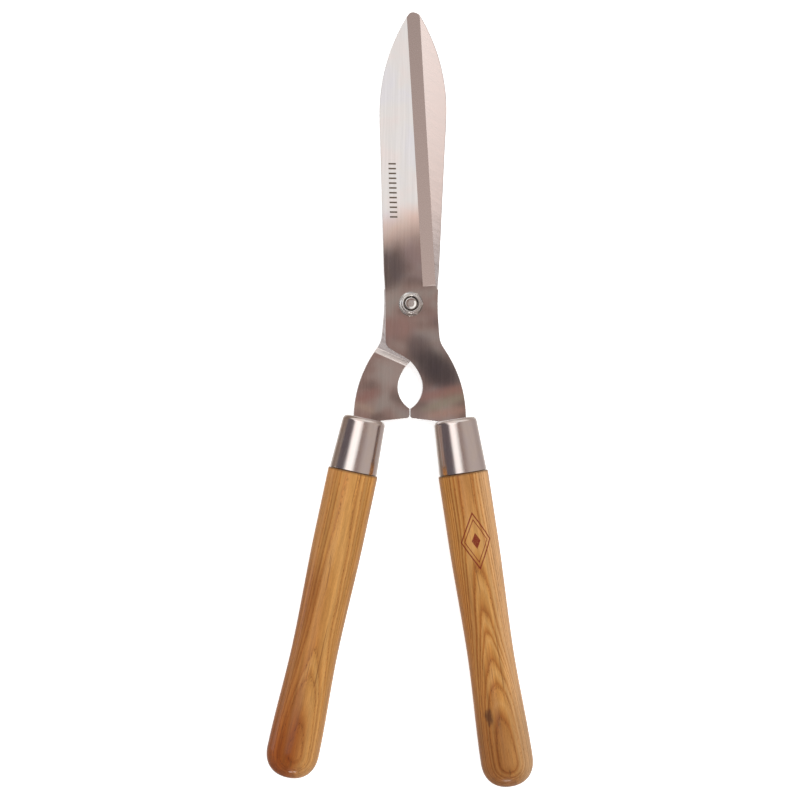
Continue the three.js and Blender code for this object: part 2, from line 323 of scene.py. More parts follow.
def piece(node, bm, body, slot, *materials):
    """Makes the mesh a piece in metres that rides on a body and stands for a CAD node."""
    crease(bm)
    place(bm, Matrix.Scale(MM, 4))
    mesh = bpy.data.meshes.new(node + "_finished")
    bm.to_mesh(mesh)
    bm.free()
    for material in materials:
        mesh.materials.append(material)
    obj = bpy.data.objects.new(mesh.name, mesh)
    scene.collection.objects.link(obj)
    normals = obj.modifiers.new("normals", "WEIGHTED_NORMAL")
    normals.keep_sharp = True
    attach(obj, body)
    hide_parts(node)


# ---- Node trees ----
def paint(red, green, blue):
    """An sRGB colour, 0 to 255, as the linear colour that nodes take."""
    shares = [value / 255 for value in (red, green, blue)]
    linear = [s / 12.92 if s <= 0.04045 else ((s + 0.055) / 1.055) ** 2.4 for s in shares]
    return (*linear, 1.0)


class Tree:
    """Writes a node tree: each method adds a node and returns its output socket."""

    def __init__(self, tree):
        self.tree = tree
        tree.nodes.clear()

    def add(self, kind, inputs, output=0, **settings):
        node = self.tree.nodes.new("ShaderNode" + kind)
        for name, value in settings.items():
            setattr(node, name, value)
        for name, value in inputs.items():
            if isinstance(value, bpy.types.NodeSocket):
                self.tree.links.new(value, node.inputs[name])
            else:
                node.inputs[name].default_value = value
        return node.outputs[output] if node.outputs else None

    def math(self, operation, first, second=0.0, third=0.0):
        return self.add("Math", {0: first, 1: second, 2: third}, operation=operation)

    def total(self, *values):
        result = values[0]
        for value in values[1:]:
            result = self.math("ADD", result, value)
        return result

    def times(self, *values):
        result = values[0]
        for value in values[1:]:
            result = self.math("MULTIPLY", result, value)
        return result

    def vector(self, operation, first, second, output=0):
        return self.add("VectorMath", {0: first, 1: second}, output, operation=operation)

    def split(self, vector):
        node = self.tree.nodes.new("ShaderNodeSeparateXYZ")
        self.tree.links.new(vector, node.inputs[0])
        return node.outputs[0], node.outputs[1], node.outputs[2]

    def ease(self, value, start, end, low=0.0, high=1.0, smooth=True):
        """Goes from low to high as the value goes from start to end."""
        kind = "SMOOTHSTEP" if smooth else "LINEAR"
        inputs = {0: value, 1: start, 2: end, 3: low, 4: high}
        return self.add("MapRange", inputs, interpolation_type=kind)

    def band(self, value, start, end, soft):
        """One between start and end, and nothing outside, with soft sides."""
        rise = self.ease(value, start - soft, start + soft)
        fall = self.ease(value, end - soft, end + soft, 1.0, 0.0)
        return self.times(rise, fall)

    def noise(self, here, across, along, detail=3.0, roughness=0.5, distortion=0.0):
        """Noise from 0 to 1, with so many features to each millimetre across and along."""
        scaled = self.vector("MULTIPLY", here, (across, along, across))
        inputs = {"Vector": scaled, "Scale": 1.0, "Detail": detail, "Roughness": roughness,
                  "Distortion": distortion}
        return self.add("TexNoise", inputs)

    def noise_along(self, value, scale):
        """Noise that varies with one number only."""
        inputs = {"W": value, "Scale": scale, "Detail": 2.0}
        return self.add("TexNoise", inputs, noise_dimensions="1D")

    def colours(self, value, stops):
        node = self.tree.nodes.new("ShaderNodeValToRGB")
        elements = node.color_ramp.elements
        while len(elements) < len(stops):
            elements.new(0.5)
        for element, (position, colour) in zip(elements, stops):
            element.position = position
            element.color = colour
        self.tree.links.new(value, node.inputs[0])
        return node.outputs[0]

    def mix(self, share, first, second):
        inputs = {0: share, 6: first, 7: second}
        return self.add("Mix", inputs, 2, data_type="RGBA")

    def shade(self, colour, brightness):
        """The colour made lighter or darker by a number."""
        if not isinstance(colour, bpy.types.NodeSocket):
            colour = colour[:3]
        grey = self.add("CombineXYZ", {0: brightness, 1: brightness, 2: brightness})
        return self.vector("MULTIPLY", colour, grey)

    def place_mm(self, origin=(0, 0, 0), turn=0.0):
        """The piece's own coordinates in millimetres, from an origin and turned about Z."""
        own = self.add("TexCoord", {}, "Object")
        in_mm = self.vector("MULTIPLY", own, (1 / MM, 1 / MM, 1 / MM))
        inputs = {"Vector": in_mm, "Location": origin, "Rotation": (0, 0, turn)}
        return self.add("Mapping", inputs, vector_type="TEXTURE")

    def bump(self, height, strength, distance_mm):
        inputs = {"Strength": strength, "Distance": distance_mm * MM, "Height": height}
        return self.add("Bump", inputs, "Normal")


def new_material(name):
    material = bpy.data.materials.new(name)
    material.use_nodes = True
    return material, Tree(material.node_tree)


def finish_material(nodes, **inputs):
    """Ends a material with the standard surface shader: a name's _ stands for a space."""
    named = {name.replace("_", " "): value for name, value in inputs.items()}
    surface = nodes.add("BsdfPrincipled", named)
    nodes.add("OutputMaterial", {"Surface": surface})


# ---- Steel ----
POLISHED = paint(220, 216, 214)
ETCHED = paint(112, 100, 88)


def hairlines(nodes, here, across, along):
    """Fine scratches, with so many across and along each millimetre."""
    fine = nodes.noise(here, across, along, detail=4.0, roughness=0.7)
    broad = nodes.noise(here, across / 7, along / 3, detail=3.0)
    return nodes.total(nodes.times(fine, 0.6), nodes.times(broad, 0.4))


def steel_cloud(nodes, here, size):
    """A faint drift of the steel's colour between pink and lilac."""
    drift = nodes.noise(here, 1 / size, 1 / size, detail=4.0, distortion=0.6)
    return nodes.colours(drift, [
        (0.32, paint(255, 247, 245)),
        (0.5, paint(251, 250, 249)),
        (0.68, paint(248, 248, 253)),
    ])


def etched_ticks(nodes, x, y):
    """A row of plain short bars, etched beside the spine."""
    row_start = 52.5
    row_end = 89.5
    row_slope = -0.04
    row_x = -9.2
    half_length = 2.3
    half_pitch = 1.5
    across = nodes.math("SUBTRACT", x, nodes.math("MULTIPLY_ADD", y, row_slope, row_x))
    in_row = nodes.times(
        nodes.band(across, -half_length, half_length, 0.15),
        nodes.band(y, row_start, row_end, 0.1),
    )
    from_bar = nodes.math("PINGPONG", y, half_pitch)
    return nodes.times(in_row, nodes.ease(from_bar, 0.35, 0.6, 1.0, 0.0))


def polished_steel():
    material, nodes = new_material("polished_steel")
    here = nodes.place_mm()
    x, y, z = nodes.split(here)
    lines = hairlines(nodes, here, 5.0, 0.06)
    cloud = steel_cloud(nodes, here, 20)
    wear = nodes.noise(here, 0.09, 0.05, detail=5.0, roughness=0.6)
    colour = nodes.vector("MULTIPLY", cloud, POLISHED[:3])
    colour = nodes.shade(colour, nodes.ease(lines, 0.35, 0.65, 0.965, 1.015))
    brushed = nodes.noise(here, 0.9, 0.025, detail=3.0)
    colour = nodes.shade(colour, nodes.ease(brushed, 0.3, 0.7, 0.965, 1.03))
    # only on the front blade's outer face
    ticks = nodes.times(etched_ticks(nodes, x, y), nodes.ease(z, 11.0, 11.5))
    colour = nodes.mix(ticks, colour, ETCHED)
    smoothness = nodes.ease(lines, 0.3, 0.7, 0.015, 0.03)
    roughness = nodes.total(smoothness, nodes.times(wear, 0.01), nodes.times(ticks, 0.3))
    normal = nodes.bump(lines, 0.02, 0.006)
    finish_material(nodes, Base_Color=colour, Metallic=1.0, Roughness=roughness, Normal=normal)
    return material


def ground_steel():
    """The bevel, with the wheel's marks across it."""
    material, nodes = new_material("ground_steel")
    here = nodes.place_mm(turn=EDGE_LEAN)
    marks = nodes.noise(here, 0.2, 4.0, detail=4.0, roughness=0.7)
    burrs = nodes.noise(here, 0.4, 0.5, detail=3.0)
    colour = nodes.shade(paint(207, 196, 194), nodes.ease(marks, 0.3, 0.7, 0.97, 1.02))
    along = nodes.split(here)[1]
    paler_to_heel = nodes.ease(along, 175, 10, 1.08, 1.38, smooth=False)
    colour = nodes.shade(colour, paler_to_heel)
    roughness = nodes.ease(marks, 0.3, 0.7, 0.2, 0.28)
    roughness = nodes.total(roughness, nodes.times(burrs, 0.04))
    normal = nodes.bump(marks, 0.1, 0.015)
    finish_material(nodes, Base_Color=colour, Metallic=1.0, Roughness=roughness, Normal=normal)
    return material


def satin_steel():
    """The blades' inner faces: paler and duller, with slanting marks from the sander."""
    material, nodes = new_material("satin_steel")
    here = nodes.place_mm(turn=math.radians(-32))
    marks = nodes.noise(here, 0.12, 2.2, detail=4.0, roughness=0.65)
    streaks = nodes.noise(here, 0.05, 0.5, detail=2.0)
    both = nodes.total(nodes.times(marks, 0.5), nodes.times(streaks, 0.5))
    colour = nodes.shade(paint(242, 226, 220), nodes.ease(both, 0.38, 0.62, 0.91, 1.03))
    y = nodes.split(nodes.place_mm())[1]
    near_pivot = nodes.ease(y, 70, 10)
    greyer = nodes.mix(near_pivot, (1, 1, 1, 1), (0.73, 0.81, 0.86, 1))
    colour = nodes.vector("MULTIPLY", colour, greyer)
    roughness = nodes.ease(both, 0.3, 0.7, 0.13, 0.21)
    normal = nodes.bump(marks, 0.15, 0.012)
    finish_material(nodes, Base_Color=colour, Metallic=1.0, Roughness=roughness, Normal=normal)
    return material


def pressed_steel():
    """The matt slope of the joggle, where the press has stretched the surface."""
    material, nodes = new_material("pressed_steel")
    here = nodes.place_mm(turn=-JOGGLE_LEAN)
    grain = nodes.noise(here, 2.0, 0.6, detail=4.0, roughness=0.6)
    colour = nodes.shade(paint(236, 226, 221), nodes.ease(grain, 0.3, 0.7, 0.93, 1.03))
    roughness = nodes.ease(grain, 0.3, 0.7, 0.4, 0.5)
    normal = nodes.bump(grain, 0.2, 0.02)
    finish_material(nodes, Base_Color=colour, Metallic=0.5, Roughness=roughness, Normal=normal)
    return material


def ferrule_steel(side):
    """Bright drawn steel, with a few shallow dents."""
    material, nodes = new_material(SIDE_NAME[side] + "_ferrule_steel")
    here = nodes.place_mm(laid_origin(side), side * LEAN[side])
    drawn = nodes.noise(here, 1.6, 0.05, detail=4.0, roughness=0.6)
    turned = nodes.noise(here, 0.1, 5.0, detail=3.0, roughness=0.7)
    dents = nodes.noise(here, 0.12, 0.05, detail=2.0)
    colour = nodes.vector("MULTIPLY", steel_cloud(nodes, here, 12), paint(228, 220, 216)[:3])
    colour = nodes.shade(colour, nodes.ease(drawn, 0.35, 0.65, 0.97, 1.01))
    roughness = nodes.ease(drawn, 0.3, 0.7, 0.15, 0.2)
    roughness = nodes.total(roughness, nodes.times(turned, 0.04))
    heights = nodes.total(dents, nodes.times(turned, 0.02))
    normal = nodes.bump(heights, 0.4, 0.1)
    finish_material(nodes, Base_Color=colour, Metallic=1.0, Roughness=roughness, Normal=normal)
    return material


def zinc_plate(name, dull, tooth, metal=1.0, shade=1.0):
    """Zinc-plated steel: dull is its least roughness and tooth the strength of its grain."""
    material, nodes = new_material(name)
    here = nodes.place_mm()
    grain = nodes.noise(here, 3.0, 3.0, detail=4.0, roughness=0.6)
    stain = nodes.noise(here, 0.45, 0.45, detail=3.0, distortion=0.5)
    colour = nodes.colours(stain, [
        (0.3, paint(216, 211, 203)),
        (0.5, paint(240, 236, 232)),
        (0.72, paint(230, 229, 232)),
    ])
    colour = nodes.shade(colour, shade)
    roughness = nodes.ease(grain, 0.3, 0.7, dull, dull * 1.3)
    roughness = nodes.total(roughness, nodes.times(stain, 0.03))
    normal = nodes.bump(grain, tooth, 0.03)
    finish_material(nodes, Base_Color=colour, Metallic=metal, Roughness=roughness, Normal=normal)
    return material


def nylon():
    material, nodes = new_material("nylon")
    here = nodes.place_mm()
    grain = nodes.noise(here, 2.0, 2.0, detail=4.0)
    colour = nodes.colours(grain, [(0.35, paint(66, 57, 52)), (0.65, paint(96, 86, 78))])
    roughness = nodes.ease(grain, 0.3, 0.7, 0.4, 0.6)
    normal = nodes.bump(grain, 0.3, 0.04)
    finish_material(nodes, Base_Color=colour, Roughness=roughness, Normal=normal)
    return material


# ---- Wood ----
def laid_origin(side):
    return (side * FERRULE_TOP.x, FERRULE_TOP.y, HANDLE_Z)


# Where the tree's centre runs past each handle: how far behind and to the right of the handle's
# middle, how much deeper it lies towards the butt, how wide the year rings are and how strongly
# they show.
PITH = {
    1: {"depth": 66.0, "dip": 6.1, "right": -1.5, "ring": 1.05, "contrast": 0.85},
    -1: {"depth": 58.0, "dip": 3.4, "right": -4.0, "ring": 1.3, "contrast": 0.5},
}
LIGHT_WOOD = paint(197, 146, 84)
WARM_WOOD = paint(187, 131, 66)
DARK_WOOD = paint(156, 92, 34)
MIDDLE_WOOD = paint(189, 135, 71)
PORE_WOOD = paint(108, 64, 26)
KNOT_WOOD = paint(78, 45, 28)
BURNT_WOOD = paint(116, 38, 18)
STAINED_SHARE = (0.5, 0.22, 0.04)         # what a full stain and the full painted light on a lit side do to the colour
PAINTED_LIGHT_SHARE = (1.12, 1.35, 2.4)


def year_rings(nodes, here, pith):
    """The rings' phase, 0 to 1 from one dark line to the next, and the ring's number."""
    x, y, z = nodes.split(here)
    sway = nodes.noise(here, 0.05, 0.012, detail=2.0)
    elsewhere = nodes.vector("ADD", here, (50, 0, 0))
    wobble = nodes.noise(elsewhere, 0.06, 0.016, detail=3.0)
    across = nodes.total(x, -pith["right"], nodes.times(sway, 4.0), -2.0)
    behind = nodes.ease(y, -55, -190, pith["depth"], pith["depth"] + pith["dip"])
    out = nodes.total(z, behind, nodes.times(wobble, 1.6))
    square = nodes.total(nodes.times(across, across), nodes.times(out, out))
    radius = nodes.math("SQRT", square)
    uneven = nodes.times(nodes.noise_along(radius, 0.4), 1.8)
    count = nodes.total(nodes.times(radius, 1 / pith["ring"]), uneven)
    return nodes.math("FRACT", count), nodes.math("FLOOR", count)


def burnt_lozenge(nodes, x, y, z):
    """A plain diamond inside another, burnt into the front of the wood."""
    half_width = 9.5
    half_length = 18.0
    middle_around = 1.3
    middle_y = -76.0
    surface_radius = (SHOULDER_RADIUS + WAIST_RADIUS) / 2
    around = nodes.times(nodes.math("ARCTAN2", x, z), surface_radius)
    around = nodes.math("SUBTRACT", around, middle_around)
    side_share = nodes.math("ABSOLUTE", nodes.times(around, 1 / half_width))
    end_share = nodes.math("ABSOLUTE", nodes.times(nodes.total(y, -middle_y), 1 / half_length))
    reach = nodes.total(side_share, end_share)
    outer = nodes.band(reach, 0.91, 1.0, 0.02)
    inner = nodes.band(reach, 0.70, 0.76, 0.02)
    centre = nodes.ease(reach, 0.26, 0.30, 1.0, 0.0)
    burnt = nodes.math("MAXIMUM", nodes.math("MAXIMUM", outer, inner), centre)
    return nodes.times(burnt, nodes.ease(z, 0, 1))


def knot(nodes, here, x, y, z):
    """One small dark knot with a torn edge, near the butt."""
    middle_x = -7.2
    middle_y = -185.0
    half_width = 2.6
    half_length = 5.5
    torn = nodes.noise(here, 1.1, 0.22, detail=4.0, roughness=0.6)
    side_way = nodes.times(nodes.total(x, -middle_x), 1 / half_width)
    long_way = nodes.times(nodes.total(y, -middle_y), 1 / half_length)
    square = nodes.total(nodes.times(side_way, side_way), nodes.times(long_way, long_way))
    reach = nodes.total(square, nodes.times(torn, 2.4), -1.2)
    in_front = nodes.ease(z, 2, 6)
    return nodes.times(nodes.ease(reach, 0.0, 1.5, 1.0, 0.0), in_front)


def ring_colour(nodes, here, x, phase, number, side):
    """The year rings: dark late wood between bands of pale early wood, no two years alike."""
    rings = nodes.colours(phase, [
        (0.0, DARK_WOOD),
        (0.22, WARM_WOOD),
        (0.5, LIGHT_WOOD),
        (0.72, WARM_WOOD),
        (1.0, DARK_WOOD),
    ])
    contrast = PITH[side]["contrast"]
    if side == 1:
        contrast = nodes.ease(x, 2, 11, contrast, contrast / 2)
    colour = nodes.mix(contrast, MIDDLE_WOOD, rings)
    year = nodes.add("TexWhiteNoise", {"W": number}, noise_dimensions="1D")
    colour = nodes.shade(colour, nodes.ease(year, 0, 1, 0.95, 1.04, smooth=False))
    streaks = nodes.noise(here, 0.42, 0.012, detail=3.0)
    return nodes.shade(colour, nodes.ease(streaks, 0.3, 0.7, 0.86, 1.1))


def right_handle_marks(nodes, colour, here, x, y, z):
    """Darker at the butt and paler on its right, where light is painted on as a lit side, with a
    knot and a burnt mark.
    """
    colour = nodes.shade(colour, nodes.ease(y, -165, -195, 1.0, 0.82))
    # painted light: the right side of the right handle made paler and less orange, as its lit side
    painted_lit_side = nodes.ease(x, 3, 13, 0.0, 0.78)
    colour = nodes.mix(painted_lit_side, colour, nodes.vector("MULTIPLY", colour, PAINTED_LIGHT_SHARE))
    flaw = knot(nodes, here, x, y, z)
    colour = nodes.mix(nodes.times(flaw, 0.8), colour, KNOT_WOOD)
    uneven = nodes.noise(here, 0.9, 0.9, detail=3.0)
    depth = nodes.ease(uneven, 0.25, 0.6, 0.75, 1.0)
    burn = nodes.times(burnt_lozenge(nodes, x, y, z), depth)
    return nodes.mix(burn, colour, BURNT_WOOD), burn


def ash_wood(side):
    """Lacquered ash, with open pores in the early wood and a painted shadow line just below the
    ferrule.
    """
    material, nodes = new_material(SIDE_NAME[side] + "_ash_wood")
    here = nodes.place_mm(laid_origin(side), side * LEAN[side])
    x, y, z = nodes.split(here)
    phase, number = year_rings(nodes, here, PITH[side])
    colour = ring_colour(nodes, here, x, phase, number, side)
    fibres = nodes.noise(here, 2.4, 0.06, detail=5.0, roughness=0.7)
    colour = nodes.shade(colour, nodes.ease(fibres, 0.3, 0.7, 0.84, 1.12))
    pits = nodes.noise(here, 3.5, 0.45, detail=2.0)
    early = nodes.ease(phase, 0.02, 0.3, 1.0, 0.2)
    pores = nodes.times(nodes.ease(pits, 0.52, 0.62), early)
    colour = nodes.mix(nodes.times(pores, 0.75), colour, PORE_WOOD)
    stain = stain_share(nodes, here, x, y, side)
    colour = nodes.mix(stain, colour, nodes.vector("MULTIPLY", colour, STAINED_SHARE))
    clefts = nodes.noise(here, 0.9, 0.016, detail=2.0)
    splits = nodes.ease(clefts, 0.66, 0.7)
    colour = nodes.mix(nodes.times(splits, 0.55), colour, PORE_WOOD)
    # painted shade: the wood darkened in the first 1.6 mm below the ferrule's mouth, a shadow line
    # at the joint
    colour = nodes.shade(colour, nodes.ease(y, -34.0, -35.6, 0.4, 1.0))
    marks = nodes.math("MAXIMUM", pores, splits)
    if side == 1:
        colour, burn = right_handle_marks(nodes, colour, here, x, y, z)
        marks = nodes.math("MAXIMUM", marks, burn)
    else:
        paler_at_top = nodes.ease(y, -58, -38, 1.0, 1.1)
        colour = nodes.shade(colour, paler_at_top)
    heights = nodes.total(nodes.times(fibres, 0.3), nodes.times(marks, -1.0))
    normal = nodes.bump(heights, 0.25, 0.05)
    roughness = nodes.ease(fibres, 0.3, 0.7, 0.36, 0.48)
    ripple = nodes.noise(here, 0.25, 0.08, detail=2.0)
    lacquer_normal = nodes.bump(ripple, 0.25, 0.1)
    finish_material(nodes, Base_Color=colour, Roughness=roughness, Normal=normal,
                    Specular_IOR_Level=0.2, Coat_Weight=0.35, Coat_Roughness=0.12,
                    Coat_Normal=lacquer_normal)
    return material


def stain_share(nodes, here, x, y, side):
    """How much darker and redder the wood is: most at the left handle's lower left."""
    blotch = nodes.noise(here, 0.08, 0.012, detail=2.0)
    waist_share = nodes.ease(y, -80, -112, 0, 0.35)
    butt_share = nodes.ease(y, -150, -230, 0, 0.4)
    share = nodes.total(waist_share, butt_share, nodes.times(blotch, 0.45))
    reach = nodes.ease(y, -160, -200, 4, 11)
    leftward = nodes.ease(nodes.math("SUBTRACT", x, reach), 0, -13)
    share = nodes.times(share, leftward)
    if side == -1:
        return share
    high_up = nodes.times(nodes.ease(y, -75, -50, 0, 0.3), nodes.band(x, -6, 5, 3))
    return nodes.total(nodes.times(share, 0.55), high_up)


# ---- Blades ----
def bevel_wedge():
    """The steel that grinding takes off along the cutting edge, with a sloping end at the heel."""
    low = EDGE_LAND - (PLATE - EDGE_LAND) / BEVEL_WIDTH
    section = [(-BEVEL_WIDTH, PLATE), (1.0, low), (1.0, PLATE + 1), (-BEVEL_WIDTH, PLATE + 1)]
    run_out = 0.45
    length = TIP_Y - HEEL_Y + 20
    bm = bmesh.new()
    near = [bm.verts.new((u, -(z - low) * run_out, z)) for u, z in section]
    far = [bm.verts.new((u, length, z)) for u, z in section]
    bm.faces.new(near)
    bm.faces.new(far)
    for i in range(4):
        j = (i + 1) % 4
        bm.faces.new((near[i], near[j], far[j], far[i]))
    bmesh.ops.recalc_face_normals(bm, faces=bm.faces)
    place(bm, Matrix.Translation((*heel(), 0)) @ Matrix.Rotation(EDGE_LEAN, 4, "Z"))
    return bm


def joggle_distance(point):
    """How far a point is from the pivot in the direction that the joggle faces."""
    return point.x * math.sin(JOGGLE_LEAN) - point.y * math.cos(JOGGLE_LEAN)


def eased_ramp(share, ease=0.2):
    """Rises evenly from 0 to 1, with a curve into and out of the slope."""
    share = min(1.0, max(0.0, share))
    if share < ease:
        return share * share / (2 * ease * (1 - ease))
    if share > 1 - ease:
        return 1 - (1 - share) ** 2 / (2 * ease * (1 - ease))
    return (share - ease / 2) / (1 - ease)


def bend_joggle(bm):
    """Bends the arm towards -Z along a slanting line, a little more gently than the CAD does."""
    facing = Vector((math.sin(JOGGLE_LEAN), -math.cos(JOGGLE_LEAN), 0))
    extra = 0.9
    start = JOGGLE_START - extra
    run = JOGGLE_RUN + 2 * extra
    stations = 30
    for i in range(stations + 1):
        parts = list(bm.verts) + list(bm.edges) + list(bm.faces)
        spot = facing * (start + (run + JOGGLE_BACK_SHIFT) * i / stations)
        bmesh.ops.bisect_plane(bm, geom=parts, plane_co=spot, plane_no=facing)
    for vert in bm.verts:
        ramp_start = start + JOGGLE_BACK_SHIFT * vert.co.z / PLATE
        share = (joggle_distance(vert.co) - ramp_start) / run
        vert.co.z -= JOGGLE_DROP * eased_ramp(share)


# the places of a blade's four finishes in its list of materials
POLISHED_INDEX, GROUND_INDEX, SATIN_INDEX, PRESSED_INDEX = range(4)


def finish_index(face, joggled):
    """Which of the blade's finishes a face has, from the way it faces and where it is."""
    distance = joggle_distance(face.calc_center_median())
    tilt = math.acos(min(1.0, max(-1.0, face.normal.z)))
    ground_slope = math.atan2(PLATE - EDGE_LAND, BEVEL_WIDTH)
    if abs(tilt - ground_slope) < math.radians(1) and face.calc_area() > 5:
        return GROUND_INDEX
    on_slope = joggled and JOGGLE_START - 1 < distance < JOGGLE_START + 6
    if on_slope and -0.985 < face.normal.z < -0.2:
        return PRESSED_INDEX
    if face.normal.z < -0.98 and (distance < JOGGLE_START or not joggled):
        return SATIN_INDEX
    return POLISHED_INDEX


def blade_mesh(lean, joggled):
    """A blade with its inner face at z = 0 and its arm to the right."""
    plate = prism(blade_outline(lean), 0, PLATE, EDGE_ROUNDING)
    plate = combine(plate, bevel_wedge(), "DIFFERENCE")
    bore = revolve([(0, -1), (HOLE_RADIUS, -1), (HOLE_RADIUS, PLATE + 1), (0, PLATE + 1)])
    plate = combine(plate, bore, "DIFFERENCE")
    if joggled:
        bend_joggle(plate)
    plate.normal_update()
    for face in plate.faces:
        face.material_index = finish_index(face, joggled)
    return plate


def make_blades():
    finishes = (polished_steel(), ground_steel(), satin_steel(), pressed_steel())
    front = blade_mesh(LEAN[1], joggled=False)
    place(front, Matrix.Translation((0, 0, FRONT_FACE)))
    piece("front_blade", front, BODY[1], "blade_steel", *finishes)
    rear = blade_mesh(LEAN[-1], joggled=True)
    place(rear, Matrix.Translation((0, 0, REAR_FACE)) @ Matrix.Rotation(math.pi, 4, "Y"))
    piece("rear_blade", rear, BODY[-1], "blade_steel", *finishes)


# ---- Pivot ----
def chamfered_hexagon(bottom, top, both_ends):
    """A bolt head or nut: a hexagon whose corners a cone has trimmed below, or at both ends."""
    outside = ACROSS_FLATS / math.sqrt(3) + 1
    start = ACROSS_FLATS / 2 + 0.15
    drop = (outside - start) * math.tan(math.radians(30))
    profile = [(0, bottom), (start, bottom), (outside, bottom + drop)]
    if both_ends:
        profile += [(outside, top - drop), (start, top), (0, top)]
    else:
        profile += [(outside, top + 1), (0, top + 1)]
    return combine(prism(hexagon(ACROSS_FLATS), bottom, top), revolve(profile), "INTERSECT")


def rounded_ring(inner, outer, bottom, top, rounding):
    """A flat ring's closed profile, with all four edges rounded."""
    corners = [(outer, bottom, -90), (outer, top, 0), (inner, top, 90), (inner, bottom, 180)]
    profile = []
    for radius, height, start in corners:
        inward = -1 if radius == outer else 1
        upward = 1 if height == bottom else -1
        for i in range(4):
            angle = math.radians(start + 30 * i)
            profile.append((
                radius + inward * rounding + rounding * math.cos(angle),
                height + upward * rounding + rounding * math.sin(angle),
            ))
    return profile


def make_bolt(material):
    head = chamfered_hexagon(0, HEAD_HEIGHT, both_ends=False)
    crest = 0.7
    dish = 0.25
    shank = revolve([
        (0, HEAD_HEIGHT / 2),
        (SHANK_RADIUS, HEAD_HEIGHT / 2),
        (SHANK_RADIUS, BOLT_END - crest),
        (SHANK_RADIUS - crest * 0.5, BOLT_END - crest * 0.2),
        (SHANK_RADIUS - crest * 0.9, BOLT_END),
        (SHANK_RADIUS - crest * 1.2, BOLT_END),
        (2.2, BOLT_END - dish),
        (2.0, BOLT_END - dish),
        (0, BOLT_END - dish),
    ])
    bolt = combine(head, shank, "UNION")
    piece("pivot_bolt", bolt, BODY[-1], "plated_steel", material)


def make_washer(material):
    profile = rounded_ring(HOLE_RADIUS, WASHER_RADIUS, WASHER_BOTTOM, WASHER_TOP, 0.3)
    piece("pivot_washer", revolve(profile, closed=True), BODY[-1], "plated_steel", material)


def make_nut(material):
    """The hexagon, with a collar that is rolled in over the nylon ring."""
    bottom = WASHER_TOP
    hexagon_top = bottom + NUT_HEXAGON
    collar_radius = 6.1
    collar_rounding = 0.9
    turns = [math.radians(15 * i) for i in range(7)]
    collar = [(0, hexagon_top - 1), (collar_radius, hexagon_top - 1)]
    collar += [(collar_radius - collar_rounding * (1 - math.cos(a)),
                NUT_TOP - collar_rounding * (1 - math.sin(a))) for a in turns]
    collar += [(0, NUT_TOP)]
    lip_radius = 4.7
    insert_radius = 5.0
    bore = [
        (0, bottom - 1),
        (HOLE_RADIUS, bottom - 1),
        (HOLE_RADIUS, INSERT_BOTTOM - GAP),
        (insert_radius + GAP, INSERT_BOTTOM - GAP),
        (insert_radius + GAP, INSERT_TOP + GAP),
        (lip_radius, INSERT_TOP + GAP),
        (lip_radius, NUT_TOP - 0.25),
        (lip_radius + 0.25, NUT_TOP + 0.01),
        (lip_radius + 0.25, NUT_TOP + 1),
        (0, NUT_TOP + 1),
    ]
    body = chamfered_hexagon(bottom, hexagon_top, both_ends=True)
    nut = combine(body, revolve(collar), "UNION")
    nut = combine(nut, revolve(bore), "DIFFERENCE")
    piece("lock_nut", nut, BODY[-1], "plated_steel", material)
    ring = rounded_ring(HOLE_RADIUS, insert_radius, INSERT_BOTTOM, INSERT_TOP, 0.2)
    piece("lock_nut_insert", revolve(ring, closed=True), BODY[-1], "nylon", nylon())


# ---- Ferrules and handles ----
# Both are made upright, with the ferrule's closed end at z = 0 and the handle going down.
def lay_down(bm, side):
    upright = Matrix.Rotation(-math.pi / 2, 4, "X")
    lean = Matrix.Rotation(side * LEAN[side], 4, "Z")
    place(bm, Matrix.Translation(laid_origin(side)) @ lean @ upright)


def ferrule_radius(along):
    share = along / FERRULE_LENGTH
    return FERRULE_TOP_RADIUS + (FERRULE_MOUTH_RADIUS - FERRULE_TOP_RADIUS) * share


def cup_side(inset, start):
    """The cup's outer or inner side, from its axis over the rounded end towards the mouth."""
    rounding = FERRULE_ROUNDING - inset
    centre_radius = ferrule_radius(start + rounding) - inset - rounding
    points = [(0, -start)]
    for i in range(13):
        angle = i / 12 * math.pi / 2
        points.append((centre_radius + rounding * math.sin(angle),
                       -start - rounding * (1 - math.cos(angle))))
    return points


def ferrule_mesh(side):
    mouth = FERRULE_MOUTH_RADIUS
    lip = 0.35
    outside = cup_side(0, 0) + [
        (mouth - 0.02, -FERRULE_LENGTH + lip),
        (mouth - 0.12, -FERRULE_LENGTH + 0.1),
        (mouth - lip, -FERRULE_LENGTH),
    ]
    inside = cup_side(FERRULE_WALL, FERRULE_WALL) + [(mouth - FERRULE_WALL, -FERRULE_LENGTH)]
    cup = revolve(outside + inside[::-1])
    middle = side * (ARM_OUTER + ARM_INNER) / 2
    half_width = (ARM_OUTER - ARM_INNER) / 2 + GAP
    half_height = PLATE / 2 + GAP
    corners = [(-half_width, -half_height), (half_width, -half_height),
               (half_width, half_height), (-half_width, half_height)]
    reach = FERRULE_ROUNDING + 2
    slot = prism([Vector((middle + x, y)) for x, y in corners], -reach, reach)
    return combine(cup, slot, "DIFFERENCE")


def handle_radius(along, end):
    butt = end - DOME_LENGTH
    if along < WAIST:
        share = smooth_share((along - WAIST_START) / (WAIST - WAIST_START))
        return SHOULDER_RADIUS + (WAIST_RADIUS - SHOULDER_RADIUS) * share
    if along < butt:
        share = smooth_share((along - WAIST) / (butt - WAIST))
        return WAIST_RADIUS + (BUTT_RADIUS - WAIST_RADIUS) * share
    dome = min(1.0, (along - butt) / DOME_LENGTH)
    return BUTT_RADIUS * (1 - dome ** DOME_POWER) ** (1 / DOME_POWER)


